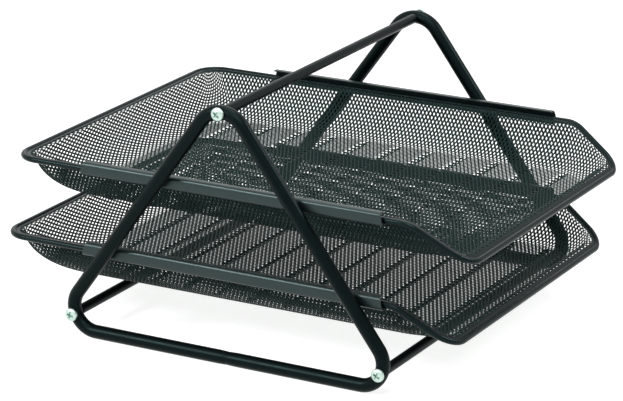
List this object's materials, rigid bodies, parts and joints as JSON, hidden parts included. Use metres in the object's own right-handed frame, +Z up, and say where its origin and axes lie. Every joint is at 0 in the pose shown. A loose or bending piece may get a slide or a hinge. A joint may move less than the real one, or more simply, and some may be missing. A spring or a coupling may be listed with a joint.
{
  "type": "letter tray",
  "caption": "Two-tier letter tray: two triangular bent-tube side frames joined by crossbars, with channel rails that carry sliding mesh baskets with a wire rim",
  "frame": {"origin": "on the table under the middle of the whole assembly, both trays included, in the position shown", "axes": "+Z up, the open dipped front towards -Y, +X to the right seen from the front, the crossbars along X"},
  "size_m": [0.2772, 0.3396, 0.1707],
  "materials": {
    "frame": "satin",
    "rail": "satin",
    "wire": "satin",
    "mesh": "satin",
    "zinc": "bright"
  },
  "bodies": {
    "frame": {"left_side_frame": "frame", "right_side_frame": "frame", "top_crossbar": "frame", "front_crossbar": "frame", "rear_crossbar": "frame", "top_left_screw": "zinc", "top_right_screw": "zinc", "front_left_screw": "zinc", "front_right_screw": "zinc", "rear_left_screw": "zinc", "rear_right_screw": "zinc", "upper_left_rail": "rail", "upper_right_rail": "rail", "lower_left_rail": "rail", "lower_right_rail": "rail"},
    "upper_tray": {"upper_tray_rim": "wire", "upper_tray_basket": "mesh"},
    "lower_tray": {"lower_tray_rim": "wire", "lower_tray_basket": "mesh"}
  },
  "joints": [
    {"name": "upper_tray_slide", "type": "slide", "parent": "frame", "child": "upper_tray", "axis": [0, -1, 0], "range_m": [-0.0105, 0.19]},
    {"name": "lower_tray_slide", "type": "slide", "parent": "frame", "child": "lower_tray", "axis": [0, -1, 0], "range_m": [0, 0.2]}
  ]
}
